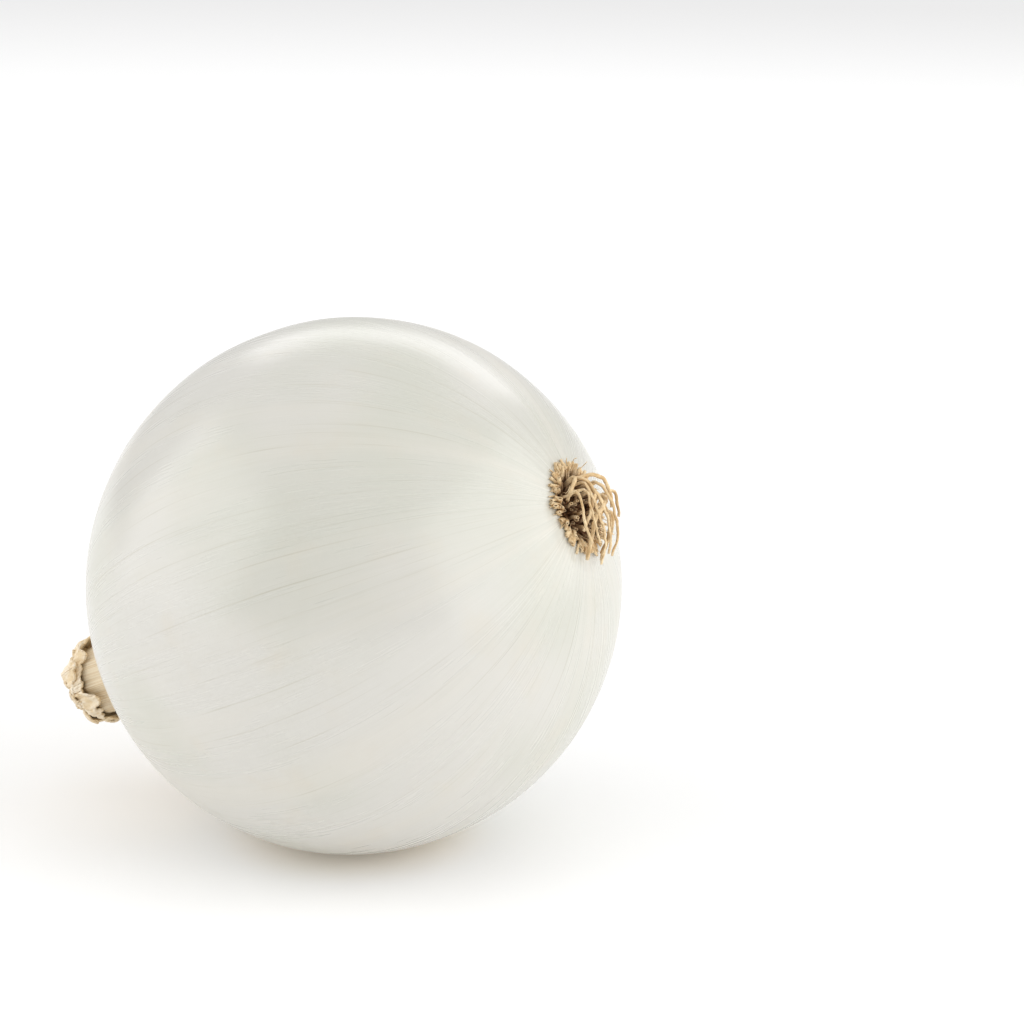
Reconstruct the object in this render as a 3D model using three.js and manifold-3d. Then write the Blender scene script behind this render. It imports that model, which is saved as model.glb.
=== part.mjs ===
// A white bulb onion lying on its side, as it comes to rest on a table. Millimetres, +Z up.
// The origin is the centre of the small flat spot that the bulb rests on. The line that the onion
// grew along runs from the neck, at -X and low, to the root end, at +X and raised.
import * as THREE from "three";
import { mergeVertices } from "three/addons/utils/BufferGeometryUtils.js";
import Module from "manifold-3d";

const wasm = await Module();
wasm.setup();

const degrees = THREE.MathUtils.degToRad;
const sameHeight = 1e-3; // points whose heights or radii differ by less lie level
const samePoint = 1e-4; // corners nearer than this are one corner

// How the onion lies
const axisTilt = degrees(25); // the root end is raised by this much
const flatSpotDepth = 0.8; // what resting has pressed off the round of the bulb

// The bulb, measured along its own line from its widest ring
const bulbRadius = 45;
const rootEndReach = 44.5; // the widest ring to where the root end would close
const shoulderReach = 45.5; // the widest ring to where the shoulder would close
const bulbSegments = 56;
const bulbRings = 16; // on each side of the widest ring
const bulbOval = 0.009; // the rings are out of round by this share of their radius
const bulbOvalTurn = degrees(37); // where, round the line, they are widest

// The neck, whose papery sheath is the bulb's own skin drawn together
const neckEndReach = 55.5; // the widest ring to the cut end of the sheath
const neckWaistLength = 3.2; // from the narrowest ring to the cut end
const neckWaistRadius = 6.2;
const neckStartRadius = 22; // the bulb's shoulder turns in towards the neck at this radius
const neckDrawShare = 0.45; // how far the shoulder and the throat each run on before they curve
const neckRings = 9;
const neckWall = 0.8;
const neckBoreDepth = 8;
const neckFolds = 9;
const neckFoldHeight = 0.16;

// The dried leaf ends, nested in the neck and rolled out over its edge, outermost first
const leafThickness = 0.6;
const leafClearance = 0.3; // to the sheath, and between one leaf and the next
const lipRadius = 1.6; // how tightly the outermost leaf rolls; the others roll around it
const leafLobes = 4; // how often, round the neck, a leaf's edge rolls further and less far
const leafLobeDepth = degrees(12); // by how much
const leafStepsRound = 22;
const leafStepsAlong = 10;
const leaves = [
  { rolled: degrees(150), torn: degrees(70), tornAt: degrees(40) },
  { rolled: degrees(105), torn: degrees(95), tornAt: degrees(215) },
  { rolled: degrees(62), torn: degrees(60), tornAt: degrees(330) },
  { rolled: degrees(26), torn: degrees(80), tornAt: degrees(120) },
];

// The root plate and the dried roots that grow from it
const plateRadius = 5.8;
const plateThickness = 2.2;
const plateDome = 0.7; // how far the plate's middle stands over its edge
const plateClearance = 0.3;
const plateSegments = 32;
const plateRings = 4;
const seatDepth = 2.9; // how deep the plate's seat is sunk into the root end
const rootRadius = 0.4;
const rootTipShare = 0.6; // a tip is this share as thick as the root
const rootClearance = 0.3; // between a root and the plate
const rootSides = 6;
const shortRootFoot = 0.35; // a short root stands straight for this share of its length
const shortRootUnevenness = 0.14; // the rest is longer or shorter by up to this share
const shortRootChange = 5.3; // from one root to the next, in radians of a wave
const shortRootSteps = 6;
const longRootSteps = 14;

// Rings of short roots, each set in from the plate's edge: the nearer the edge, the more they lean
const rootRings = [
  { count: 17, inset: 0.75, lean: degrees(72), length: 3.4 },
  { count: 12, inset: 2.2, lean: degrees(45), length: 3.0 },
  { count: 7, inset: 3.75, lean: degrees(18), length: 2.4 },
];

// Long roots, each in the place of a short one: how high it lifts over the plate, how far it swings
// aside, how far past the plate's lower edge it ends, and how high its end stands over the plate
const longRoots = [
  { ring: 1, place: 1, lift: 5.0, swing: 0.5, overhang: 3.8, endHeight: 1.6 },
  { ring: 1, place: 3, lift: 4.4, swing: -0.3, overhang: 4.2, endHeight: 1.4 },
  { ring: 1, place: 4, lift: 4.8, swing: -1.0, overhang: 0.6, endHeight: 3.8 },
  { ring: 2, place: 1, lift: 4.2, swing: 0.4, overhang: 3.2, endHeight: 2.0 },
  { ring: 0, place: 0, lift: 4.6, swing: 2.0, overhang: -1.6, endHeight: 3.6 },
  { ring: 0, place: 7, lift: 4.2, swing: -1.2, overhang: 0.0, endHeight: 3.6 },
];

// Where, along the bulb's line, one half of it has narrowed to a radius.
function reachAt(radius, reach) {
  const share = Math.min(radius / bulbRadius, 1);
  return reach * Math.sqrt(1 - share * share);
}

const seatRadius = plateRadius + plateClearance;
const seatFloorAt = reachAt(seatRadius, rootEndReach) - seatDepth;
const plateBottomAt = seatFloorAt + plateClearance;
const neckStartAt = -reachAt(neckStartRadius, shoulderReach);
const boreRadius = neckWaistRadius - neckWall;
const boreFloorAt = neckBoreDepth - neckEndReach;

// How far the plate's top stands along the line, at a distance from its middle.
function plateTopAt(radius) {
  const share = Math.min(radius / plateRadius, 1);
  return plateBottomAt + plateThickness - plateDome * share * share;
}

// Turns a lathe's Y axis onto the onion's own line, +X.
function alongLine(geometry) {
  return geometry.rotateZ(-Math.PI / 2);
}

function moveVertices(geometry, move) {
  const position = geometry.getAttribute("position");
  const point = new THREE.Vector3();
  for (let i = 0; i < position.count; i += 1) {
    move(point.fromBufferAttribute(position, i));
    position.setXYZ(i, point.x, point.y, point.z);
  }
  return geometry;
}

// Half of the bulb's outline, an ellipse's arc between two radii.
function bodyOutline(fromRadius, toRadius, reach, rings) {
  const from = Math.acos(fromRadius / bulbRadius);
  const to = Math.acos(toRadius / bulbRadius);
  return Array.from({ length: rings + 1 }, (_, i) => {
    const turned = from + ((to - from) * i) / rings;
    return new THREE.Vector2(bulbRadius * Math.cos(turned), reach * Math.sin(turned));
  });
}

// The outline from the shoulder, drawn in to the neck's narrowest ring.
function neckOutline() {
  const waistAt = neckWaistLength - neckEndReach;
  const start = new THREE.Vector2(neckStartRadius, neckStartAt);
  const waist = new THREE.Vector2(neckWaistRadius, waistAt);
  const steepness = (bulbRadius / shoulderReach) ** 2 * (-neckStartAt / neckStartRadius);
  const run = neckDrawShare * (neckStartAt - waistAt);
  const shoulder = new THREE.Vector2(neckStartRadius - run * steepness, neckStartAt - run);
  const throat = new THREE.Vector2(neckWaistRadius, waistAt + run);
  return new THREE.CubicBezierCurve(start, shoulder, throat, waist).getPoints(neckRings);
}

// The seat for the root plate, the bulb, its shoulder and neck, and the open end of the sheath.
function bulbGeometry() {
  const profile = [
    new THREE.Vector2(0, seatFloorAt),
    new THREE.Vector2(seatRadius, seatFloorAt),
    ...bodyOutline(seatRadius, bulbRadius, rootEndReach, bulbRings),
    ...bodyOutline(bulbRadius, neckStartRadius, -shoulderReach, bulbRings).slice(1),
    ...neckOutline().slice(1),
    new THREE.Vector2(neckWaistRadius, -neckEndReach),
    new THREE.Vector2(boreRadius, -neckEndReach),
    new THREE.Vector2(boreRadius, boreFloorAt),
    new THREE.Vector2(0, boreFloorAt),
  ];
  return moveVertices(alongLine(new THREE.LatheGeometry(profile.reverse(), bulbSegments)), grown);
}

// A slightly oval bulb, and shallow folds that gather the skin into the neck.
function grown(point) {
  const radius = Math.hypot(point.y, point.z);
  const innerRadius = point.x > 0 ? seatRadius : boreRadius;
  if (radius <= innerRadius + sameHeight) return;
  const angle = Math.atan2(point.z, point.y);
  const nearNeck = THREE.MathUtils.smoothstep(-point.x, -neckStartAt, neckEndReach);
  const oval = bulbOval * radius * Math.cos(2 * (angle - bulbOvalTurn)) * (1 - nearNeck);
  const scale = 1 + (oval + neckFoldHeight * nearNeck * Math.cos(neckFolds * angle)) / radius;
  point.y *= scale;
  point.z *= scale;
}

// A corky disc with a low dome.
function plateGeometry() {
  const profile = [new THREE.Vector2(0, plateBottomAt), new THREE.Vector2(plateRadius, plateBottomAt)];
  for (let i = 0; i <= plateRings; i += 1) {
    const radius = plateRadius * (1 - i / plateRings);
    profile.push(new THREE.Vector2(radius, plateTopAt(radius)));
  }
  return alongLine(new THREE.LatheGeometry(profile, plateSegments));
}

// A round strand, thinner towards its tip, bent onto a curve.
function strandGeometry(curve, steps) {
  const tipRadius = rootRadius * rootTipShare;
  const strand = new THREE.CylinderGeometry(tipRadius, rootRadius, 1, rootSides, steps);
  const frames = curve.computeFrenetFrames(steps);
  return moveVertices(strand, (point) => {
    const share = THREE.MathUtils.clamp(point.y + 0.5, 0, 1);
    const step = Math.round(share * steps);
    const { x: side, z: rise } = point;
    point.copy(curve.getPointAt(share));
    point.addScaledVector(frames.normals[step], rise);
    point.addScaledVector(frames.binormals[step], side);
  });
}

// Where a root leaves the plate, as a place counted round one of the rings.
function rootBase({ ring, place }) {
  const { count, inset } = rootRings[ring];
  const radius = plateRadius - inset;
  const angle = (2 * Math.PI * (place + 0.5 * (ring % 2))) / count;
  const out = new THREE.Vector3(0, Math.cos(angle), Math.sin(angle));
  const stands = plateTopAt(radius) + rootClearance + rootRadius;
  return { out, base: out.clone().multiplyScalar(radius).setX(stands) };
}

// A short root: straight off the plate, then leaning away from its middle.
function shortRootCurve({ ring, place }) {
  const { lean, length } = rootRings[ring];
  const { out, base } = rootBase({ ring, place });
  const foot = shortRootFoot * length;
  const uneven = shortRootUnevenness * Math.sin(shortRootChange * place + ring);
  const rest = (1 - shortRootFoot) * length * (1 + uneven);
  const bend = base.clone().addScaledVector(out, foot * Math.tan(lean / 2));
  bend.x += foot;
  const tip = bend.clone().addScaledVector(out, rest * Math.sin(lean));
  tip.x += rest * Math.cos(lean);
  return new THREE.QuadraticBezierCurve3(base, bend, tip);
}

// A long root: straight up past the short ones, over them, and down at the plate's lower edge.
// Its points are shares of how high it lifts, how far it swings aside and how far down it ends.
function longRootCurve({ ring, place, lift, swing, overhang, endHeight }) {
  const { base } = rootBase({ ring, place });
  const top = plateTopAt(0);
  const drop = plateRadius + overhang;
  const points = [
    base,
    new THREE.Vector3(top + 0.5 * lift, base.y, base.z),
    new THREE.Vector3(top + 0.9 * lift, base.y, base.z),
    new THREE.Vector3(top + lift, base.y + 0.5 * swing, 0.5 * base.z),
    new THREE.Vector3(top + 0.86 * lift, base.y + swing, -0.64 * drop),
    new THREE.Vector3(top + endHeight, base.y + 0.8 * swing, -drop),
  ];
  return new THREE.CatmullRomCurve3(points, false, "centripetal");
}

// A leaf end: round the inside of the sheath, torn open down one side, its end rolled outwards.
function leafGeometry({ rolled, torn, tornAt }, layer) {
  const layerStep = leafThickness + leafClearance;
  const radius = boreRadius - leafClearance - leafThickness / 2 - layer * layerStep;
  const roll = lipRadius + layer * layerStep;
  const start = boreFloorAt - leafClearance;
  const straight = start + neckEndReach + leafClearance;
  const sheet = new THREE.BoxGeometry(1, 1, 1, leafStepsRound, leafStepsAlong).translate(0.5, 0.5, 0);
  return moveVertices(sheet, (point) => {
    const angle = tornAt + torn + (2 * Math.PI - torn) * (1 - point.x);
    const lobe = leafLobeDepth * Math.cos(leafLobes * angle + layer);
    const length = straight + roll * (rolled + lobe);
    const travelled = point.y * length;
    const turned = Math.max(0, travelled - straight) / roll;
    const away = roll - point.z * leafThickness;
    const fromLine = radius + roll - away * Math.cos(turned);
    const along = start - Math.min(travelled, straight) - away * Math.sin(turned);
    point.set(along, fromLine * Math.cos(angle), fromLine * Math.sin(angle));
  });
}

function toSolid(geometry) {
  const bare = geometry.clone();
  bare.deleteAttribute("normal");
  bare.deleteAttribute("uv");
  const merged = mergeVertices(bare, samePoint);
  return new wasm.Manifold(
    new wasm.Mesh({
      numProp: 3,
      vertProperties: new Float32Array(merged.getAttribute("position").array),
      triVerts: new Uint32Array(merged.index.array),
    }),
  );
}

function toGeometry(solid) {
  const mesh = solid.getMesh();
  const geometry = new THREE.BufferGeometry();
  geometry.setAttribute("position", new THREE.BufferAttribute(mesh.vertProperties, 3));
  geometry.setIndex(new THREE.BufferAttribute(mesh.triVerts, 1));
  geometry.computeVertexNormals();
  return geometry;
}

// Takes off what reaches below the table, which leaves the flat spot.
function cutFlatSpot(geometry) {
  const side = 4 * bulbRadius;
  const table = new THREE.BoxGeometry(side, side, side).translate(0, 0, -side / 2);
  return toGeometry(toSolid(geometry).subtract(toSolid(table)));
}

function flatSpotCentre(geometry) {
  const outline = new THREE.Box3();
  moveVertices(geometry, (point) => {
    if (Math.abs(point.z) < sameHeight) outline.expandByPoint(point);
  });
  return outline.getCenter(new THREE.Vector3());
}

const skin = new THREE.MeshStandardMaterial({ color: 0xe6e6dc, roughness: 0.35 });
const sheathPaper = new THREE.MeshStandardMaterial({ color: 0xd9c4a0, roughness: 0.75 });
const cork = new THREE.MeshStandardMaterial({ color: 0x6b4a28, roughness: 0.95 });
const driedRoot = new THREE.MeshStandardMaterial({ color: 0xb98f5a, roughness: 0.85 });

function addPiece(group, name, geometry, material) {
  const mesh = new THREE.Mesh(geometry, material);
  mesh.name = name;
  group.add(mesh);
}

const numbered = (name, number) => `${name}_${String(number).padStart(2, "0")}`;

const tiltedBulb = bulbGeometry().rotateY(-axisTilt);
tiltedBulb.computeBoundingBox();
const height = -tiltedBulb.boundingBox.min.z - flatSpotDepth;
const restingBulb = cutFlatSpot(tiltedBulb.translate(0, 0, height));
const flatSpot = flatSpotCentre(restingBulb);
restingBulb.translate(-flatSpot.x, -flatSpot.y, 0);

const onion = new THREE.Group();
addPiece(onion, "bulb", restingBulb, skin);

// What grows on the bulb is placed in the onion's own frame: +X along its line to the root end
const grownParts = new THREE.Group();
grownParts.rotation.y = -axisTilt;
grownParts.position.set(-flatSpot.x, -flatSpot.y, height);
onion.add(grownParts);

addPiece(grownParts, "root_plate", plateGeometry(), cork);

const isLong = (ring, place) => longRoots.some((root) => root.ring === ring && root.place === place);
let shortRoots = 0;
rootRings.forEach(({ count }, ring) => {
  for (let place = 0; place < count; place += 1) {
    if (isLong(ring, place)) continue;
    shortRoots += 1;
    const strand = strandGeometry(shortRootCurve({ ring, place }), shortRootSteps);
    addPiece(grownParts, numbered("short_root", shortRoots), strand, driedRoot);
  }
});
longRoots.forEach((root, i) => {
  const strand = strandGeometry(longRootCurve(root), longRootSteps);
  addPiece(grownParts, numbered("long_root", i + 1), strand, driedRoot);
});

leaves.forEach((leaf, i) => {
  addPiece(grownParts, numbered("neck_leaf", i + 1), leafGeometry(leaf, i), sheathPaper);
});

export default onion;
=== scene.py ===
"""A white onion lying on its side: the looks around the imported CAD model. Metres, +Z up."""
import math
import random

import bpy
import numpy as np
from mathutils import Euler, Matrix, Vector, noise
from mathutils.bvhtree import BVHTree


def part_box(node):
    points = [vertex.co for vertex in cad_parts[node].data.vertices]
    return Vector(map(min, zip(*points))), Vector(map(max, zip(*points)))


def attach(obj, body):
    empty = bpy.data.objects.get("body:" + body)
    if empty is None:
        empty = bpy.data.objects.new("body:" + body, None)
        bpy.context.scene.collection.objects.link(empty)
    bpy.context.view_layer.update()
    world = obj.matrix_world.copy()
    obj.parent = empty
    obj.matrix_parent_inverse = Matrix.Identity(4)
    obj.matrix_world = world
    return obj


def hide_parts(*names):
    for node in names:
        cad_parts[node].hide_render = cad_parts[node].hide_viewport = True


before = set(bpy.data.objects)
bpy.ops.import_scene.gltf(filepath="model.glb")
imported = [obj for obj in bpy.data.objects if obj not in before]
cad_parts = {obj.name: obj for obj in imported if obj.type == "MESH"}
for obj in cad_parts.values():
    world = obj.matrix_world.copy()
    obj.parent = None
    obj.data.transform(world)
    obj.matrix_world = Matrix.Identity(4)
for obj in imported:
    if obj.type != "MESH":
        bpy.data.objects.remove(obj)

MM = 0.001
TURN = 2 * math.pi
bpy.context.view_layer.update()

# ---------------------------------------------------------------------------------------------
# The onion's own frame: +X along the line that it grew along, to the root end; +Z its upper side
# ---------------------------------------------------------------------------------------------


def node_points(name):
    """A CAD node's vertices, each once."""
    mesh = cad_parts[name].data
    points = np.empty(3 * len(mesh.vertices))
    mesh.vertices.foreach_get("co", points)
    return np.unique(points.reshape(-1, 3).round(7), axis=0)


def growth_frame():
    """The axes and origin of the onion's frame. The root plate is a disc square to the line, so
    the line runs in its thin direction, and the origin is where the bulb is widest."""
    plate = node_points("root_plate")
    middle = plate.mean(axis=0)
    line = np.linalg.svd(plate - middle)[2][2]
    line *= np.sign(line[0])
    across = np.array([0.0, 1.0, 0.0])
    bulb = node_points("bulb") - middle
    along = bulb @ line
    from_line = np.linalg.norm(bulb - np.outer(along, line), axis=1)
    widest = along[from_line.argmax()]
    return np.stack([line, across, np.cross(line, across)], axis=1), middle + line * widest


AXES, ORIGIN = growth_frame()


def to_onion(points):
    """Points of the part's frame, in the onion's."""
    return (np.asarray(points) - ORIGIN) @ AXES


def to_part(points):
    """Points of the onion's frame, in the part's."""
    return np.asarray(points) @ AXES.T + ORIGIN


def around(angle):
    """The way out from the line, at an angle round it."""
    return np.array([0.0, math.cos(angle), math.sin(angle)])


def arc_lengths(points):
    return np.concatenate([[0], np.cumsum(np.linalg.norm(np.diff(points, axis=0), axis=1))])


def resampled(points, count):
    """The same open line with evenly spaced points."""
    points = np.asarray(points)
    lengths = arc_lengths(points)
    even = np.linspace(0, lengths[-1], count)
    return np.stack([np.interp(even, lengths, points[:, k]) for k in range(points.shape[1])], axis=1)


def smoothed(points, reach):
    """The same open line with its corners rounded over this many points each way. Its ends stay."""
    pad = 3 * reach
    weights = np.exp(-0.5 * (np.arange(-pad, pad + 1) / reach) ** 2)
    weights /= weights.sum()
    before = 2 * points[0] - points[pad:0:-1]
    after = 2 * points[-1] - points[-2 : -pad - 2 : -1]
    padded = np.concatenate([before, points, after])
    columns = [np.convolve(padded[:, k], weights, "valid") for k in range(points.shape[1])]
    return np.stack(columns, axis=1)


SAME_PLACE = 0.01 * MM
SEAT_CLEARANCE = 0.5 * MM  # from the plate's edge, outwards over the rim of its seat
OUTLINE_POINTS = 700
OUTLINE_SMOOTHING = 8  # over this many points each way, which rounds the CAD's facets off


def bulb_outline(turns=16, step=0.1, start_distance=0.1, table_clear=0.5 * MM):
    """(along, radius) of the CAD bulb, from the rim of the plate's seat to the neck's cut end.

    Rays from outside to the bulb's middle find it; hits near the flat spot are left out.
    """
    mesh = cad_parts["bulb"].data
    tree = BVHTree.FromPolygons([v.co for v in mesh.vertices], [p.vertices for p in mesh.polygons])
    own = to_onion(node_points("bulb"))
    end = own[own[:, 0] < own[:, 0].min() + SAME_PLACE]
    end_radius = np.hypot(end[:, 1], end[:, 2]).max()
    plate = to_onion(node_points("root_plate"))
    rim_radius = np.hypot(plate[:, 1], plate[:, 2]).max() + SEAT_CLEARANCE
    rim = math.degrees(math.atan2(rim_radius, plate[:, 0].max()))
    last = 180 - math.degrees(math.atan2(end_radius, -end[0, 0])) - step
    outline = []
    for polar in np.radians(np.arange(rim, last, step)):
        found = []
        for angle in np.arange(turns) * TURN / turns:
            way = math.cos(polar) * np.array([1.0, 0.0, 0.0]) + math.sin(polar) * around(angle)
            start = Vector(to_part(way * start_distance))
            hit = tree.ray_cast(start, Vector(ORIGIN) - start)[0]
            if hit is not None and hit.z > table_clear:
                found.append(np.linalg.norm(np.array(hit) - ORIGIN))
        outline.append((math.cos(polar) * np.mean(found), math.sin(polar) * np.mean(found)))
    outline.append((end[0, 0], outline[-1][1]))
    return smoothed(resampled(outline, OUTLINE_POINTS), OUTLINE_SMOOTHING)


OUTLINE = bulb_outline()
BULB_RADIUS = OUTLINE[:, 1].max()
RIM_ALONG, RIM_RADIUS = OUTLINE[0]
NECK_ALONG, NECK_RADIUS = OUTLINE[-1]
PLATE = to_onion(node_points("root_plate"))
PLATE_TOP = PLATE[:, 0].max()
PLATE_RADIUS = np.hypot(PLATE[:, 1], PLATE[:, 2]).max()


def skin_along(radius):
    """How far along the line the root end's skin stands, at a distance from the line."""
    root_end = OUTLINE[OUTLINE[:, 0] > 0]
    return np.interp(radius, root_end[:, 1], root_end[:, 0])


# ---------------------------------------------------------------------------------------------
# Meshes
# ---------------------------------------------------------------------------------------------


class Form:
    """Collects the faces of one piece, in the onion's frame."""

    def __init__(self):
        self.points = []
        self.faces = []

    def add(self, points, faces):
        first = len(self.points)
        self.points += [tuple(p) for p in points]
        self.faces += [tuple(first + i for i in face) for face in faces]

    def piece(self, name, material, replaced=()):
        mesh = bpy.data.meshes.new(name)
        mesh.from_pydata([tuple(p) for p in to_part(self.points)], [], self.faces)
        mesh.update()
        mesh.shade_smooth()
        made = bpy.data.objects.new(name, mesh)
        bpy.context.scene.collection.objects.link(made)
        mesh.materials.append(material)
        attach(made, "root")
        if replaced:
            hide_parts(*replaced)
        return made


def ring_faces(rings, sides):
    """The quads of a tube of rings, facing out where the rings turn left-handed on their way."""
    faces = []
    for i in range(rings - 1):
        for j in range(sides):
            k = (j + 1) % sides
            faces.append((i * sides + j, i * sides + k, (i + 1) * sides + k, (i + 1) * sides + j))
    return faces


def capped(rings, sides):
    """Quads of a tube of rings with a fan on each end, whose middle points come last."""
    faces = ring_faces(rings, sides)
    start, end = rings * sides, rings * sides + 1
    last = (rings - 1) * sides
    for j in range(sides):
        k = (j + 1) % sides
        faces.append((start, k, j))
        faces.append((end, last + j, last + k))
    return faces


def wave(point, scale, seed=0.0):
    """Smooth noise from -1 to 1, at a place, with this size of feature."""
    return noise.noise(Vector(point) / scale + Vector((seed, 1.7 * seed, -seed)))


def ease(low, high, value):
    share = min(max((value - low) / (high - low), 0.0), 1.0)
    return share * share * (3 - 2 * share)


# ---------------------------------------------------------------------------------------------
# The bulb
# ---------------------------------------------------------------------------------------------

NECK_DROOP = np.array([0.0, -0.6 * MM, -0.95 * MM])
DROOP_FROM = -38 * MM
BULB_STATIONS = 250
BULB_SIDES = 360
OVAL = 0.009  # the bulb is out of round by this share, and widest at this turn, as in the CAD
OVAL_TURN = math.radians(37)
SEAT_INSET = 0.1 * MM
SEAT_DEPTHS = (2.6 * MM, 1.6 * MM, 0.8 * MM, 0.3 * MM)
SHEATH_THICKNESS = 0.7 * MM
BORE_DEPTHS = (0.0, 1 * MM, 3 * MM, 7 * MM)


def bulb_profile():
    """The bulb's outline with the seat of the root plate and the bore of the neck turned in."""
    seat_radius = RIM_RADIUS - SEAT_INSET
    seat = [(RIM_ALONG - depth, seat_radius) for depth in SEAT_DEPTHS]
    bore_radius = NECK_RADIUS - SHEATH_THICKNESS
    bore = [(NECK_ALONG + depth, bore_radius) for depth in BORE_DEPTHS]
    stations = resampled(OUTLINE, BULB_STATIONS)
    return np.concatenate([[(seat[0][0], 0.4 * seat_radius)], seat, stations, bore])


def growth_noise(along, angle, around_scale, along_scale, seed):
    """Noise drawn out along the line: about around_scale features in a turn."""
    spread = around_scale / TURN
    return noise.noise(
        Vector((along / along_scale, spread * math.cos(angle) + seed, spread * math.sin(angle) - seed))
    )


def skin_relief(along, radius, angle):
    """How far the skin stands out from a smooth bulb: lumps, ribs, and pleats at the neck."""
    near_neck = ease(NECK_ALONG + 20 * MM, NECK_ALONG + 6 * MM, along)
    near_root = ease(12 * MM, RIM_RADIUS, radius) if along > 0 else 0.0
    oval = OVAL * radius * math.cos(2 * (angle - OVAL_TURN)) * (1 - near_neck)
    body = radius / BULB_RADIUS
    lumps = 0.35 * MM * body * growth_noise(along, angle, 5, 0.05, 3.1)
    ribs = 0.10 * MM * body * growth_noise(along, angle, 40, 0.06, 8.3)
    pleats = near_neck * (
        0.42 * MM * growth_noise(along, angle, 17, 0.03, 5.9)
        + 0.20 * MM * growth_noise(along, angle, 48, 0.02, 2.2)
    )
    puckers = 0.12 * MM * near_root * growth_noise(along, angle, 60, 0.01, 7.7)
    return oval + lumps + ribs + pleats + puckers


def bent(points):
    """Lets the neck droop a little, as dry necks do."""
    points = np.array(points)
    for point in points:
        point += ease(DROOP_FROM, NECK_ALONG, point[0]) * NECK_DROOP
    return points


def table_pressed(points, softness=0.12 * MM):
    """Presses what reaches the table flat onto it."""
    placed = to_part(points)
    height = placed[:, 2]
    placed[:, 2] = 0.5 * (height + np.sqrt(height**2 + softness**2))
    return to_onion(placed)


def bulb_points(profile):
    points = []
    for along, radius in profile:
        for j in range(BULB_SIDES):
            angle = TURN * j / BULB_SIDES
            out = radius + (skin_relief(along, radius, angle) if radius > RIM_RADIUS * 0.7 else 0.0)
            points.append(np.array([along, 0, 0]) + out * around(angle))
    ends = [(profile[0][0], 0, 0), (profile[-1][0], 0, 0)]
    return table_pressed(bent(np.concatenate([points, ends])))


def build_bulb():
    profile = bulb_profile()
    form = Form()
    form.add(bulb_points(profile), capped(len(profile), BULB_SIDES))
    return form.piece("bulb_skin", skin_material(), ["bulb"])


# ---------------------------------------------------------------------------------------------
# Dried roots
# ---------------------------------------------------------------------------------------------


def cad_root_line(name):
    """The middle line of a CAD root, from the plate to its tip.

    Its rings are found by steps along the mesh's edges, from the flat end that faces the plate.
    """
    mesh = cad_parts[name].data
    places, index = np.unique(
        np.array([v.co for v in mesh.vertices]).round(7), axis=0, return_inverse=True
    )
    index = index.ravel()
    near = {i: set() for i in range(len(places))}
    for edge in mesh.edges:
        a, b = (int(index[v]) for v in edge.vertices)
        near[a].add(b)
        near[b].add(a)
    own = to_onion(places)
    ring = {i for i in range(len(places)) if own[i, 0] < own[:, 0].min() + SAME_PLACE}
    seen = set(ring)
    middles = []
    while ring:
        middles.append(own[sorted(ring)].mean(axis=0))
        ring = {j for i in ring for j in near[i]} - seen
        seen |= ring
    return np.array(middles)


def strand_frames(path):
    """For each point of a path, two ways square to it and to each other, turning least."""
    ways = np.gradient(path, axis=0)
    ways /= np.linalg.norm(ways, axis=1)[:, None]
    side = np.cross(ways[0], (0.3, 0.5, 0.8))
    frames = []
    for way in ways:
        side = side - way * side.dot(way)
        side /= np.linalg.norm(side)
        frames.append((side, np.cross(way, side)))
    return frames


LUMPINESS = 0.22  # how much a root's thickness varies, as a share of it
FURROW_DEPTH = 0.13  # of its regular furrows, as a share of its radius
ROUGHNESS_DEPTH = 0.1  # of its other unevenness
TIP_RIM, TIP_HOLE = 0.62, 0.5  # the cut end's hollow at its mouth and its bottom, as shares too
TIP_DEPTH = 0.8  # how deep that hollow is, in the tip's radii
TWIST = 0.25  # radians from one ring to the next


def add_strand(form, path, thickness, rng, sides=9, tip_share=0.75, flatness=(0.68, 0.95)):
    """A dried root: furrowed, uneven, thinner towards its tip, whose cut end is hollow."""
    seed = rng.uniform(0, 50)
    furrows = rng.choice((2, 3))
    count = len(path)
    points = []
    frames = strand_frames(path)
    radii = []
    for i in range(count):
        share = i / (count - 1)
        lumps = 1 + LUMPINESS * noise.noise(Vector((share * count * 0.35, seed, 0)))
        radii.append(0.5 * thickness * lumps * (1 - (1 - tip_share) * share))
    flat = rng.uniform(*flatness)

    def ring(i, scale, back=0.0):
        side, other = frames[i]
        way = np.cross(side, other)
        for j in range(sides):
            turn = TURN * j / sides + TWIST * i
            place = Vector((3 * math.cos(turn), 3 * math.sin(turn), 0.6 * i + seed))
            regular = FURROW_DEPTH * math.cos(furrows * turn + seed)
            furrow = 1 + regular + ROUGHNESS_DEPTH * noise.noise(place)
            out = radii[i] * scale * furrow
            points.append(
                path[i] - way * back + side * out * math.cos(turn) + other * out * math.sin(turn) * flat
            )

    for i in range(count):
        ring(i, 1.0)
    ring(count - 1, TIP_RIM)
    ring(count - 1, TIP_HOLE, TIP_DEPTH * radii[-1])
    points.append(path[0])
    points.append(path[-1] - np.cross(*frames[-1]) * TIP_DEPTH * radii[-1])
    form.add(points, capped(count + 2, sides))


def kinked(path, amount, rng, steps, straight=1.2 * MM, bend_length=1.6 * MM):
    """A path with small bends, as dried roots have; its start stays.

    Blender seeds noise_vector by the clock, so these bends, and the crumples of the neck's leaves,
    come out a little different each time the script is run.
    """
    path = resampled(path, steps)
    seed = rng.uniform(0, 90)
    length = arc_lengths(path)
    for i in range(1, len(path)):
        grow = min(1.0, length[i] / straight)
        place = Vector((length[i] / bend_length, seed, 0))
        path[i] += amount * grow * np.array(noise.noise_vector(place))
    return path


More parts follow.
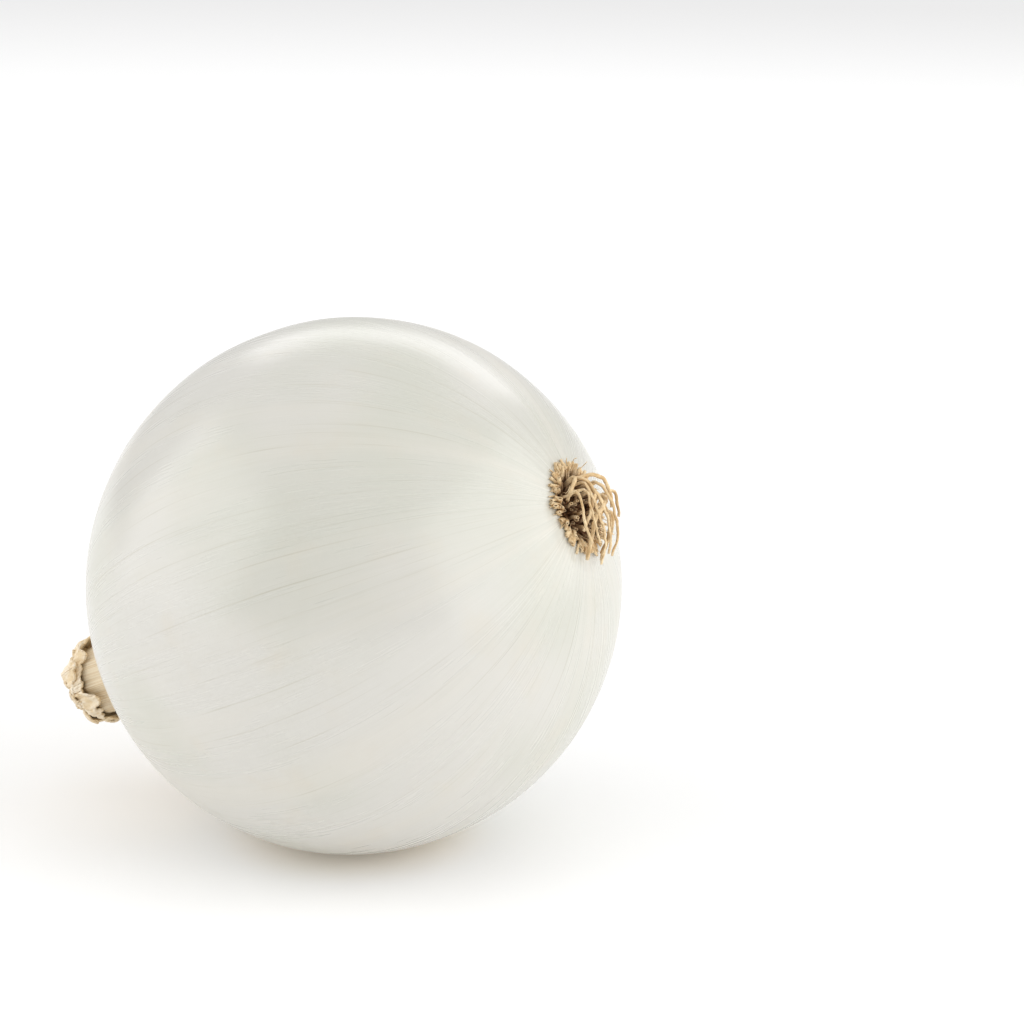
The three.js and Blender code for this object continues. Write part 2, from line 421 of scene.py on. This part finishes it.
def off_the_skin(path, thickness, rim_width=0.4 * MM, lift_share=0.55):
    """Lifts a path that would sink into the bulb."""
    for point in path:
        radius = math.hypot(point[1], point[2])
        if radius > RIM_RADIUS - rim_width:
            point[0] = max(point[0], skin_along(radius) + lift_share * thickness)
    return path


def node_names(start):
    """The CAD nodes whose names start so, in order."""
    return sorted(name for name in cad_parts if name.startswith(start))


ROOT_SUNK = 0.9 * MM  # how far a root starts below its CAD foot, to stand in the cork
SHORT_ROOT_POINTS, SHORT_ROOT_KEPT = 24, 20  # a short root keeps this many of its line's points


def build_cad_roots():
    """Each root of the CAD gets its own piece on the same middle line."""
    material = root_material()
    for name in node_names("short_root") + node_names("long_root"):
        rng = random.Random(name)
        line = cad_root_line(name)
        is_long = name.startswith("long")
        line[0] -= (ROOT_SUNK, 0, 0)
        line = line if is_long else resampled(line, SHORT_ROOT_POINTS)[:SHORT_ROOT_KEPT]
        thickness = (rng.uniform(0.62, 0.72) if is_long else rng.uniform(0.58, 0.82)) * MM
        path = kinked(line, (0.28 if is_long else 0.22) * MM, rng, 34 if is_long else 16)
        form = Form()
        add_strand(form, off_the_skin(path, thickness), thickness, rng)
        form.piece(name + "_strand", material, [name])


STUB_SUNK = 1.0 * MM  # how far below the plate's top a stub starts


def stub_path(angle, radius, lean, length, curl, rng, steps=12):
    """A short root: off the plate, leaning out, and curling over towards its tip."""
    out = around(angle)
    beside = np.array([0.0, -math.sin(angle), math.cos(angle)])
    along = np.array([1.0, 0.0, 0.0])
    point = along * (PLATE_TOP - STUB_SUNK) + out * radius
    swing = rng.uniform(-0.5, 0.5)
    path = [point]
    for i in range(steps):
        turned = lean * ease(0, 0.35, i / steps) + curl * (i / steps) ** 2
        way = along * math.cos(turned) + (out + swing * beside) * math.sin(turned)
        point = point + way / np.linalg.norm(way) * (length + STUB_SUNK) / steps
        path.append(point)
    return np.array(path)


def build_stubs(name, count, radii, leans, lengths, curls, seed, thick):
    """Many more short roots, in one piece. Some are flattened and blunt, some thin and pointed."""
    rng = random.Random(seed)
    form = Form()
    for i in range(count):
        angle = TURN * (i + rng.uniform(-0.4, 0.4)) / count
        blunt = rng.random() < 0.55
        thickness = rng.uniform(*thick) * MM * (1.15 if blunt else 0.75)
        path = stub_path(
            angle,
            rng.uniform(*radii) * PLATE_RADIUS,
            math.radians(rng.uniform(*leans)),
            rng.uniform(*lengths) * MM,
            math.radians(rng.uniform(*curls)),
            rng,
        )
        path = off_the_skin(kinked(path, 0.3 * MM, rng, 14), thickness)
        tip_share = rng.uniform(0.9, 1.2) if blunt else rng.uniform(0.2, 0.6)
        flatness = (0.45, 0.7) if blunt else (0.7, 0.95)
        add_strand(form, path, thickness, rng, 8, tip_share, flatness)
    return form.piece(name, root_material())


def build_all_stubs():
    """Stubs at the plate's rim, inside it and in its middle. How far out they stand is in plate
    radii, leans and curls are in degrees, and lengths and thicknesses in millimetres."""
    build_stubs("root_stubs_rim", 120, (0.86, 1.0), (64, 94), (1.1, 2.7), (-25, 40), 5, (0.45, 0.75))
    build_stubs("root_stubs_outer", 90, (0.62, 0.92), (35, 75), (1.3, 2.7), (-30, 60), 8, (0.42, 0.72))
    build_stubs("root_stubs_inner", 60, (0.1, 0.6), (5, 45), (0.6, 1.8), (-40, 60), 7, (0.4, 0.65))


# Roots that cross the tuft, as points (above the plate, across, up) in millimetres. Each starts
# in the plate.
CROSSING_ROOTS = [
    [(-1, -1.2, 3.6), (1.8, -1.3, 4.6), (3.3, -1.8, 4.8), (2.6, -3.2, 3.4), (1.6, -4.4, 1.9)],
    [(-1, 0.2, 3.4), (2.6, -0.8, 4.9), (4.0, -0.6, 4.2), (4.1, 1.0, 1.4), (4.0, 3.0, -2.2),
     (3.2, 3.9, -5.0), (1.8, 2.4, -7.4), (0.9, 1.0, -8.4)],
    [(-1, 2.6, 1.0), (2.8, 2.6, 1.8), (4.1, 1.3, 1.2), (3.5, -1.6, -1.2), (2.2, -4.0, -3.6)],
    [(-1, 3.4, -0.4), (3.4, 4.4, 0.2), (4.4, 3.6, -0.8), (4.1, -1.8, -2.3), (2.6, -3.8, -5.6),
     (1.1, -4.4, -8.2)],
    [(-1, -0.6, 3.2), (3.0, -0.6, 4.4), (4.6, 1.6, 4.1), (5.0, 4.1, 2.5), (4.8, 4.7, 0.0), (3.8, 5.0, -2.4)],
    [(-1, 1.6, -1.8), (3.0, 3.2, -1.8), (4.2, 4.4, -3.4), (2.4, 3.2, -6.6), (1.0, -0.2, -9.4)],
]


def build_crossing_roots():
    """The crossing roots, in one piece."""
    rng = random.Random(12)
    form = Form()
    for points in CROSSING_ROOTS:
        path = np.array(points) * MM
        path[:, 0] += PLATE_TOP
        thickness = rng.uniform(0.74, 0.88) * MM
        path = kinked(smoothed(resampled(path, 60), 3), 0.2 * MM, rng, 40)
        add_strand(form, off_the_skin(path, thickness), thickness, rng, 10, rng.uniform(0.6, 0.8))
    return form.piece("root_strands_crossing", root_material())


WISP_THICKNESS = 0.3 * MM  # about; each draws its own


def build_wisps(count=16, seed=31):
    """Thin side roots, bent this way and that among the others."""
    rng = random.Random(seed)
    form = Form()
    for _ in range(count):
        angle = rng.uniform(0, TURN)
        path = stub_path(
            angle,
            rng.uniform(0.5, 0.95) * PLATE_RADIUS,
            math.radians(rng.uniform(10, 70)),
            rng.uniform(2.8, 5.0) * MM,
            math.radians(rng.uniform(-60, 110)),
            rng,
        )
        path = kinked(path, 0.7 * MM, rng, 18)
        add_strand(form, off_the_skin(path, WISP_THICKNESS), rng.uniform(0.2, 0.34) * MM, rng, 5, 0.5)
    return form.piece("root_wisps", root_material())


PLATE_DOME = 0.7 * MM  # how far its middle stands over its edge, as in the CAD
PLATE_WORN = 0.2 * MM  # how far its cork lies below the CAD's top


def build_plate():
    """The corky plate, rough with the scars of lost roots."""
    rings, sides = 26, 64
    points = []
    bottom = PLATE[:, 0].min()
    for i in range(rings):
        share = 1 - i / (rings - 1)
        radius = PLATE_RADIUS * max(share, 0.02)
        for j in range(sides):
            angle = TURN * j / sides
            place = radius * around(angle)
            rough = 0.35 * MM * wave(place, 0.9 * MM, 4) + 0.2 * MM * wave(place, 0.35 * MM, 9)
            top = np.interp(radius, [0, PLATE_RADIUS], [PLATE_TOP, PLATE_TOP - PLATE_DOME])
            points.append(place + (top - PLATE_WORN + rough, 0, 0))
    base = [(bottom, *(0.97 * PLATE_RADIUS * around(TURN * j / sides)[1:])) for j in range(sides)]
    points = base + points + [(bottom, 0, 0), (PLATE_TOP - PLATE_WORN, 0, 0)]
    form = Form()
    form.add(points, [face[::-1] for face in capped(rings + 1, sides)])
    return form.piece("root_plate_cork", cork_material(), ["root_plate"])


# ---------------------------------------------------------------------------------------------
# Dried leaf ends in the neck
# ---------------------------------------------------------------------------------------------

LEAF_THICKNESS = 0.4 * MM
LEAF_STARTS = 6 * MM  # below the cut end, in the bore
LEAF_POINTS = 60  # along its line
LEAF_PLEAT, LEAF_FINE_PLEAT = 0.24 * MM, 0.12 * MM
LEAF_CRUMPLE, LEAF_FINE_CRUMPLE = 0.45 * MM, 0.06 * MM
CRUMPLE_SIZE, FINE_CRUMPLE_SIZE = 2.4 * MM, 0.8 * MM  # from one crumple to the next


def leaf_radius(name):
    """How far from the line a CAD leaf stands, deep in the neck's bore."""
    own = to_onion(node_points(name))
    deep = own[own[:, 0] > own[:, 0].max() - 1 * MM]
    return np.hypot(deep[:, 1], deep[:, 2]).mean()


def leaf_line(layer_radius, past, roll, rolled, flap):
    """(along, radius) of a leaf: up the bore, past the cut edge, rolled over, and down again."""
    start = NECK_ALONG + LEAF_STARTS
    edge = NECK_ALONG - past
    line = [(start + (edge - start) * share, layer_radius) for share in np.linspace(0, 1, 8)]
    for turned in np.linspace(0, rolled, 22)[1:]:
        line.append((edge - roll * math.sin(turned), layer_radius + roll * (1 - math.cos(turned))))
    way = np.array([-math.cos(rolled), math.sin(rolled)])
    line.append(np.array(line[-1]) + way * flap)
    return resampled(line, LEAF_POINTS)


def leaf_shape(angle, radius, past, roll, rolled, flap, seed):
    """A leaf's line at an angle round the neck, with its lobes and ragged edge, and its pleat there."""
    turn = Vector((math.cos(angle), math.sin(angle), 0))

    def change(scale, shift):
        return noise.noise(scale * turn + Vector((0, 0, seed + shift)))

    lobe, other, ragged, fine = change(1.3, 0), change(1.7, 20), change(4.5, 40), change(16, 60)
    here_flap = flap * max(0.15, 1 + 1.3 * other + 0.5 * ragged + 0.12 * fine)
    here_rolled = rolled * (1 + 0.3 * lobe + 0.08 * ragged)
    here_past = past * (1 + 0.5 * other)
    here_roll = roll * (1 + 0.7 * lobe)
    pleat = LEAF_PLEAT * change(15, 80) + LEAF_FINE_PLEAT * change(34, 90)
    return leaf_line(radius, here_past, here_roll, here_rolled, here_flap), pleat


def crumpled(line, pleat, angle, seed):
    """The points of a leaf's line, pleated and crumpled the more the further up they are."""
    slopes = np.gradient(line, axis=0)
    slopes /= np.linalg.norm(slopes, axis=1)[:, None]
    points = []
    for k, (along, out) in enumerate(line):
        loose = ease(0.2, 0.8, k / (len(line) - 1))
        point = np.array([along, 0, 0]) + out * around(angle)
        crumple = np.array(noise.noise_vector(Vector(point / CRUMPLE_SIZE) + Vector((seed, 0, 0))))
        small = np.array(noise.noise_vector(Vector(point / FINE_CRUMPLE_SIZE) + Vector((0, 0, seed))))
        face = np.array([slopes[k][1], 0, 0]) - slopes[k][0] * around(angle)
        point = point + loose * (LEAF_CRUMPLE * crumple + LEAF_FINE_CRUMPLE * small)
        points.append(point + pleat * (0.4 + loose) * face)
    return points


def sheet_faces(columns, count):
    """The quads between neighbouring columns of this many points."""
    faces = []
    for i in range(columns - 1):
        for k in range(count - 1):
            a, b = i * count + k, (i + 1) * count + k
            faces.append((a, a + 1, b + 1, b))
    return faces


def build_leaf(name, cad_name, past, roll, rolled, flap, torn, torn_at, seed, sides=260):
    """A dried leaf end, torn open down one side, as a sheet with a thickness."""
    radius = leaf_radius(cad_name)
    points = []
    for i in range(sides + 1):
        angle = torn_at + torn + (TURN - torn) * i / sides
        line, pleat = leaf_shape(angle, radius, past, roll, rolled, flap, seed)
        points += crumpled(line, pleat, angle, seed)
    form = Form()
    form.add(bent(points), sheet_faces(sides + 1, LEAF_POINTS))
    leaf = form.piece(name, neck_material(), [cad_name])
    thicken = leaf.modifiers.new("thickness", "SOLIDIFY")
    thicken.thickness = LEAF_THICKNESS
    thicken.offset = 0
    return leaf


def build_neck():
    """The four leaf ends, outermost first: each past the cut end, rolled over and torn in its way."""
    names = node_names("neck_leaf")
    build_leaf("neck_leaf_rolled_back", names[0], 1.3 * MM, 1.1 * MM, 3.0, 3.0 * MM, 0.35, 0.9, 11.0)
    build_leaf("neck_leaf_folded", names[1], 2.1 * MM, 1.3 * MM, 2.6, 2.1 * MM, 0.6, 3.4, 23.0)
    build_leaf("neck_leaf_curled", names[2], 2.5 * MM, 1.4 * MM, 2.3, 1.5 * MM, 0.7, 5.6, 37.0)
    build_leaf("neck_leaf_inner", names[3], 2.5 * MM, 1.4 * MM, 1.8, 0.9 * MM, 1.2, 2.0, 41.0)


# ---------------------------------------------------------------------------------------------
# Materials
# ---------------------------------------------------------------------------------------------


class Nodes:
    """A short way to write a material's nodes."""

    def __init__(self, name):
        self.material = bpy.data.materials.new(name)
        self.material.use_nodes = True
        self.tree = self.material.node_tree
        self.shader = self.tree.nodes["Principled BSDF"]

    def add(self, kind, settings=None, **inputs):
        made = self.tree.nodes.new("ShaderNode" + kind)
        for key, value in (settings or {}).items():
            setattr(made, key, value)
        for key, value in inputs.items():
            self.link(value, made.inputs[int(key[1:]) if key[0] == "i" and key[1:].isdigit() else key])
        return made

    def link(self, value, socket):
        if isinstance(value, bpy.types.NodeSocket):
            self.tree.links.new(value, socket)
        else:
            socket.default_value = value

    def math(self, operation, a, b=0.0, c=0.0):
        return self.add("Math", {"operation": operation}, i0=a, i1=b, i2=c).outputs[0]

    def mix(self, share, a, b):
        return self.add("Mix", {"data_type": "RGBA"}, i0=share, i6=a, i7=b).outputs[2]

    def ramp(self, value, low, high, out_low=0.0, out_high=1.0):
        settings = {"interpolation_type": "SMOOTHSTEP"}
        return self.add("MapRange", settings, i0=value, i1=low, i2=high, i3=out_low, i4=out_high).outputs[0]

    def noise(self, vector, scale, detail=2.0, roughness=0.5):
        made = self.add("TexNoise", None, Vector=vector, Scale=scale, Detail=detail, Roughness=roughness)
        return made.outputs["Fac"]

    def combine(self, x, y, z):
        return self.add("CombineXYZ", None, X=x, Y=y, Z=z).outputs[0]

    def hollows(self, low, high):
        """1 in a furrow or crease, 0 on a ridge."""
        return self.ramp(self.add("NewGeometry").outputs["Pointiness"], low, high, 1.0, 0.0)

    def onion_place(self):
        """This spot in the onion's frame, in metres: along the line, across, up."""
        place = self.add("TexCoord").outputs["Object"]
        own = self.add("Mapping", {"vector_type": "TEXTURE"}, Vector=place)
        own.inputs["Location"].default_value = tuple(ORIGIN)
        own.inputs["Rotation"].default_value = Matrix(AXES.tolist()).to_euler()
        parts = self.add("SeparateXYZ", None, Vector=own.outputs[0])
        return own.outputs[0], parts.outputs[0], parts.outputs[1], parts.outputs[2]


def colour(red, green, blue):
    """A colour given as it looks on a screen, from 0 to 255."""
    def linear(value):
        value /= 255
        return value / 12.92 if value <= 0.04045 else ((value + 0.055) / 1.055) ** 2.4
    return (linear(red), linear(green), linear(blue), 1.0)


def vein_lines(nodes, angle, radius, wander, count, width, seed):
    """1 on a thin line, 0 off it: lines along the bulb, this many in a turn, this wide in metres."""
    drift = nodes.math("MULTIPLY", nodes.math("SUBTRACT", wander, 0.5), 0.4)
    turns = nodes.math("MULTIPLY", angle, count / TURN)
    phase = nodes.math("FRACT", nodes.math("ADD", nodes.math("ADD", turns, drift), 100 + seed))
    off = nodes.math("ABSOLUTE", nodes.math("SUBTRACT", phase, 0.5))
    metres = nodes.math("MULTIPLY", off, nodes.math("MULTIPLY", radius, TURN / count))
    return nodes.ramp(metres, 0.15 * width, width, 1.0, 0.0)


def skin_material():
    """Pearly papery skin: grey-green veins, fine fibres, tan at the neck, whitish at the root."""
    n = Nodes("onion_skin")
    own, along, across, up = n.onion_place()
    radius = n.math("SQRT", n.math("ADD", n.math("MULTIPLY", across, across), n.math("MULTIPLY", up, up)))
    angle = n.math("ARCTAN2", up, across)
    cosine, sine = n.math("DIVIDE", across, radius), n.math("DIVIDE", up, radius)

    def drawn_out(turns, per_metre):
        """A place for noise with about this many features in a turn and in a metre along."""
        spread = turns / TURN
        return n.combine(
            n.math("MULTIPLY", along, per_metre),
            n.math("MULTIPLY", cosine, spread),
            n.math("MULTIPLY", sine, spread),
        )

    broad = n.noise(own, 28.0, 2.0)
    blotches = n.noise(own, 95.0, 3.0, 0.6)
    bands = n.noise(drawn_out(26, 14), 1.0, 3.0, 0.55)
    fibres = n.noise(drawn_out(420, 60), 1.0, 3.0, 0.6)
    fine = n.noise(drawn_out(1100, 130), 1.0, 2.0, 0.6)
    sway = n.noise(drawn_out(12, 22), 1.0, 2.0, 0.6)
    fade = n.noise(drawn_out(60, 45), 1.0, 2.0, 0.6)
    fade_fine = n.noise(drawn_out(130, 70), 1.0, 2.0, 0.6)

    near_root = n.ramp(radius, 17 * MM, 5 * MM)
    at_root_end = n.ramp(along, 20 * MM, 38 * MM)
    near_root = n.math("MULTIPLY", near_root, at_root_end)
    near_neck = n.ramp(along, NECK_ALONG + 17 * MM, NECK_ALONG + 6 * MM)
    neck_fringe = n.ramp(along, NECK_ALONG + 30 * MM, NECK_ALONG + 10 * MM)

    pearl = n.mix(n.ramp(broad, 0.38, 0.66), colour(208, 206, 199), colour(200, 200, 189))
    pearl = n.mix(n.ramp(bands, 0.45, 0.75, 0.0, 0.5), pearl, colour(214, 210, 199))
    pearl = n.mix(n.ramp(blotches, 0.5, 0.8, 0.0, 0.35), pearl, colour(208, 200, 184))
    pearl = n.mix(n.ramp(fibres, 0.5, 0.8, 0.0, 0.16), pearl, colour(190, 187, 170))
    pearl = n.mix(n.ramp(fine, 0.5, 0.8, 0.0, 0.1), pearl, colour(230, 229, 224))

    main = vein_lines(n, angle, radius, sway, 58, 0.16 * MM, 0.0)
    minor = vein_lines(n, angle, radius, sway, 151, 0.11 * MM, 0.37)
    main = n.math("MULTIPLY", main, n.ramp(fade, 0.42, 0.7, 0.0, 0.3))
    minor = n.math("MULTIPLY", minor, n.ramp(fade_fine, 0.48, 0.72, 0.0, 0.16))
    veins = n.math("MULTIPLY", n.math("MAXIMUM", main, minor), n.ramp(radius, 7 * MM, 16 * MM))
    skin = n.mix(veins, pearl, colour(150, 142, 108))

    rays = n.noise(drawn_out(190, 40), 1.0, 3.0, 0.7)
    whitish = n.math("MULTIPLY", near_root, n.ramp(rays, 0.35, 0.7, 0.05, 0.55))
    skin = n.mix(whitish, skin, colour(226, 221, 210))
    streaky = n.math("MULTIPLY", n.math("SUBTRACT", fibres, 0.5), 2.0)
    tan_rays = n.ramp(n.math("ADD", neck_fringe, streaky), 0.3, 1.15, 0.0, 0.7)
    skin = n.mix(n.math("MULTIPLY", tan_rays, n.ramp(neck_fringe, 0.0, 0.3)), skin, colour(201, 184, 152))
    paper = n.mix(n.ramp(fibres, 0.32, 0.66), colour(204, 176, 132), colour(236, 224, 198))
    skin = n.mix(near_neck, skin, paper)
    n.link(skin, n.shader.inputs["Base Color"])

    rough = n.ramp(bands, 0.3, 0.7, 0.23, 0.33)
    rough = n.math("ADD", rough, n.ramp(fibres, 0.3, 0.7, -0.02, 0.02))
    rough = n.math("ADD", rough, n.math("MULTIPLY", near_neck, 0.3))
    n.link(rough, n.shader.inputs["Roughness"])
    n.shader.inputs["Specular IOR Level"].default_value = 0.85

    ribs = n.noise(drawn_out(110, 18), 1.0, 1.0, 0.5)
    threads = n.noise(drawn_out(260, 45), 1.0, 0.0)
    relief = n.math("ADD", n.math("MULTIPLY", ribs, 1.1), n.math("MULTIPLY", threads, 0.25))
    at_neck = n.math("MULTIPLY", n.math("MULTIPLY", near_neck, fibres), 3.0)
    relief = n.math("ADD", relief, at_neck)
    bump = n.add("Bump", None, Height=relief, Distance=0.06 * MM, Strength=0.45)
    n.link(bump.outputs[0], n.shader.inputs["Normal"])
    return n.material


_made = {}


def once(make):
    """A material that is made once and shared."""
    def shared():
        if make not in _made:
            _made[make] = make()
        return _made[make]
    return shared


@once
def root_material():
    """Dried root: tan, brown near the plate, streaked and dull, with painted shade in its furrows and
    painted highlights on its ridges.
    """
    n = Nodes("dried_root")
    own, along, across, up = n.onion_place()
    streaks = n.noise(own, 2600.0, 3.0, 0.65)
    patches = n.noise(own, 520.0, 2.0, 0.6)
    tan = n.mix(n.ramp(patches, 0.3, 0.7), colour(206, 172, 122), colour(238, 214, 172))
    tan = n.mix(n.ramp(streaks, 0.5, 0.8, 0.0, 0.5), tan, colour(154, 114, 70))
    radius = n.math("SQRT", n.math("ADD", n.math("MULTIPLY", across, across), n.math("MULTIPLY", up, up)))
    # Painted shade: darker brown in the root's furrows, where shade falls.
    tan = n.mix(n.math("MULTIPLY", n.hollows(0.44, 0.53), 0.75), tan, colour(126, 86, 44))
    # Painted highlight: pale cream on the root's ridges stands in for the light that catches them.
    painted_ridge_highlight = n.math("SUBTRACT", 1.0, n.hollows(0.54, 0.66))
    tan = n.mix(n.math("MULTIPLY", painted_ridge_highlight, 0.35), tan, colour(246, 230, 200))
    height = n.ramp(n.math("SUBTRACT", along, PLATE_TOP), 0.0, 2.6 * MM)
    outside = n.ramp(radius, 0.75 * PLATE_RADIUS, 1.2 * PLATE_RADIUS)
    shown = n.mix(n.math("MAXIMUM", height, outside), colour(104, 66, 34), tan)
    n.link(shown, n.shader.inputs["Base Color"])
    n.shader.inputs["Roughness"].default_value = 0.72
    bump = n.add("Bump", None, Height=streaks, Distance=0.08 * MM, Strength=0.8)
    n.link(bump.outputs[0], n.shader.inputs["Normal"])
    return n.material


@once
def cork_material():
    """The plate between the roots: dark, crumbly cork."""
    n = Nodes("root_cork")
    own = n.onion_place()[0]
    crumbs = n.noise(own, 1500.0, 4.0, 0.7)
    cork = n.mix(n.ramp(crumbs, 0.3, 0.7), colour(72, 42, 20), colour(140, 96, 54))
    n.link(cork, n.shader.inputs["Base Color"])
    n.shader.inputs["Roughness"].default_value = 0.95
    bump = n.add("Bump", None, Height=crumbs, Distance=0.25 * MM)
    n.link(bump.outputs[0], n.shader.inputs["Normal"])
    return n.material


@once
def neck_material():
    """Dry leaf: cream and tan, brown in its streaks, with fibres along it, and painted shade in its creases.
    """
    n = Nodes("neck_paper")
    own, along, across, up = n.onion_place()
    stretched = n.combine(n.math("MULTIPLY", along, 0.35), across, up)
    fibres = n.noise(stretched, 2400.0, 3.0, 0.65)
    patches = n.noise(own, 420.0, 3.0, 0.6)
    paper = n.mix(n.ramp(patches, 0.35, 0.65), colour(243, 231, 210), colour(230, 208, 170))
    paper = n.mix(n.ramp(fibres, 0.5, 0.78, 0.0, 0.6), paper, colour(188, 148, 92))
    # Painted shade: warm brown in the creases between the leaves' folds, where shade falls.
    paper = n.mix(n.math("MULTIPLY", n.hollows(0.43, 0.5), 0.45), paper, colour(196, 158, 106))
    n.link(paper, n.shader.inputs["Base Color"])
    n.shader.inputs["Roughness"].default_value = 0.7
    bump = n.add("Bump", None, Height=fibres, Distance=0.12 * MM, Strength=0.8)
    n.link(bump.outputs[0], n.shader.inputs["Normal"])
    return n.material


# ---------------------------------------------------------------------------------------------
# Camera, floor and light
# ---------------------------------------------------------------------------------------------

CAMERA_AZIMUTH = math.radians(27.7)
CAMERA_ELEVATION = math.radians(17.0)
CAMERA_DISTANCE = 0.55
IMAGE_SIDE = 0.1722  # what the picture is wide, at the onion's distance
ONION_LEFT = 0.0261  # the onion's middle lies left of the picture's and below it
ONION_BELOW = 0.0122


def to_camera():
    """The way from the onion to the camera."""
    level = math.cos(CAMERA_ELEVATION)
    return Vector(
        (math.sin(CAMERA_AZIMUTH) * level, -math.cos(CAMERA_AZIMUTH) * level, math.sin(CAMERA_ELEVATION))
    )


def bulb_middle():
    low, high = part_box("bulb")
    return Vector((ORIGIN[0], ORIGIN[1], high.z - BULB_RADIUS))


def add_camera():
    """The camera, turned so that the onion lies left of the picture's middle and below it."""
    lens = bpy.data.cameras.new("camera")
    lens.sensor_width = 36.0
    lens.lens = lens.sensor_width * CAMERA_DISTANCE / IMAGE_SIDE
    camera = bpy.data.objects.new("camera", lens)
    bpy.context.scene.collection.objects.link(camera)
    turn_right = math.atan2(ONION_LEFT, CAMERA_DISTANCE)
    turn_up = math.atan2(ONION_BELOW, CAMERA_DISTANCE)
    facing = (-to_camera()).to_track_quat("-Z", "Y").to_matrix()
    aim = facing @ Euler((turn_up, -turn_right, 0)).to_matrix()
    place = bulb_middle() + to_camera() * CAMERA_DISTANCE
    camera.matrix_world = Matrix.Translation(place) @ aim.to_4x4()
    bpy.context.scene.camera = camera


def add_floor():
    """A pale floor which glows a little towards the front, with painted warm bounce light in a brighter,
    warmer ring round the onion's contact.
    """
    mesh = bpy.data.meshes.new("floor")
    half = 6.0
    corners = [(-half, -half, 0), (half, -half, 0), (half, half, 0), (-half, half, 0)]
    mesh.from_pydata(corners, [], [(0, 1, 2, 3)])
    floor = bpy.data.objects.new("floor", mesh)
    bpy.context.scene.collection.objects.link(floor)
    n = Nodes("floor")
    place = n.add("SeparateXYZ", None, Vector=n.add("TexCoord").outputs["Object"])
    x_squared = n.math("MULTIPLY", place.outputs[0], place.outputs[0])
    y_squared = n.math("MULTIPLY", place.outputs[1], place.outputs[1])
    from_contact = n.math("SQRT", n.math("ADD", x_squared, y_squared))
    # Painted light: a warmer, brighter ring round the contact stands in for light the bulb bounces into its
    # shadow.
    painted_bounce_ring = n.ramp(from_contact, 9 * MM, 26 * MM, 1.0, 0.0)
    n.link(n.mix(painted_bounce_ring, (0.87, 0.87, 0.87, 1), (0.96, 0.88, 0.76, 1)), n.shader.inputs["Base Color"])
    n.shader.inputs["Roughness"].default_value = 0.9
    n.shader.inputs["Specular IOR Level"].default_value = 0.1
    n.shader.inputs["Emission Color"].default_value = (1, 0.985, 0.97, 1)
    sideways = n.math("MULTIPLY", place.outputs[0], math.sin(CAMERA_AZIMUTH))
    to_front = n.math("MULTIPLY_ADD", place.outputs[1], -math.cos(CAMERA_AZIMUTH), sideways)
    n.link(n.ramp(to_front, -0.05, 0.12, 0.06, 0.24), n.shader.inputs["Emission Strength"])
    mesh.materials.append(n.material)


def add_softbox(name, azimuth, elevation, width, height, brightness, distance=1.0):
    """A soft light at an azimuth from the camera's, facing the onion."""
    lamp = bpy.data.lights.new(name, "AREA")
    lamp.shape = "RECTANGLE"
    lamp.size, lamp.size_y = width, height
    lamp.energy = brightness * math.pi * width * height
    box = bpy.data.objects.new(name, lamp)
    bpy.context.scene.collection.objects.link(box)
    angle = CAMERA_AZIMUTH + math.radians(azimuth)
    rise = math.radians(elevation)
    way = Vector((math.sin(angle) * math.cos(rise), -math.cos(angle) * math.cos(rise), math.sin(rise)))
    turned = (-way).to_track_quat("-Z", "Y").to_matrix().to_4x4()
    box.matrix_world = Matrix.Translation(bulb_middle() + way * distance) @ turned
    box.visible_camera = False


def add_room(level, overhead):
    """The studio all round: this bright at eye level, and this bright straight above."""
    world = bpy.data.worlds.new("studio")
    world.use_nodes = True
    tree = world.node_tree
    way = tree.nodes.new("ShaderNodeTexCoord").outputs["Generated"]
    parts = tree.nodes.new("ShaderNodeSeparateXYZ")
    tree.links.new(way, parts.inputs[0])
    height = tree.nodes.new("ShaderNodeMapRange")
    tree.links.new(parts.outputs["Z"], height.inputs["Value"])
    height.inputs["To Min"].default_value = level
    height.inputs["To Max"].default_value = overhead
    background = tree.nodes["Background"]
    background.inputs["Color"].default_value = (1, 1, 1, 1)
    tree.links.new(height.outputs[0], background.inputs["Strength"])
    bpy.context.scene.world = world


def add_light():
    add_room(0.3, 1.04)
    add_softbox("softbox_back", 172, 31, 0.95, 0.3, 1.5)
    add_softbox("softbox_right", 75, 20, 1.5, 1.0, 1.6)
    add_softbox("softbox_left", -85, 22, 1.3, 1.0, 1.3)
    add_softbox("backdrop", 180, 12, 4.0, 1.1, 0.2, 2.6)
    bpy.context.scene.view_settings.view_transform = "Standard"


add_camera()
add_floor()
add_light()
build_bulb()
build_plate()
build_cad_roots()
build_all_stubs()
build_crossing_roots()
build_wisps()
build_neck()
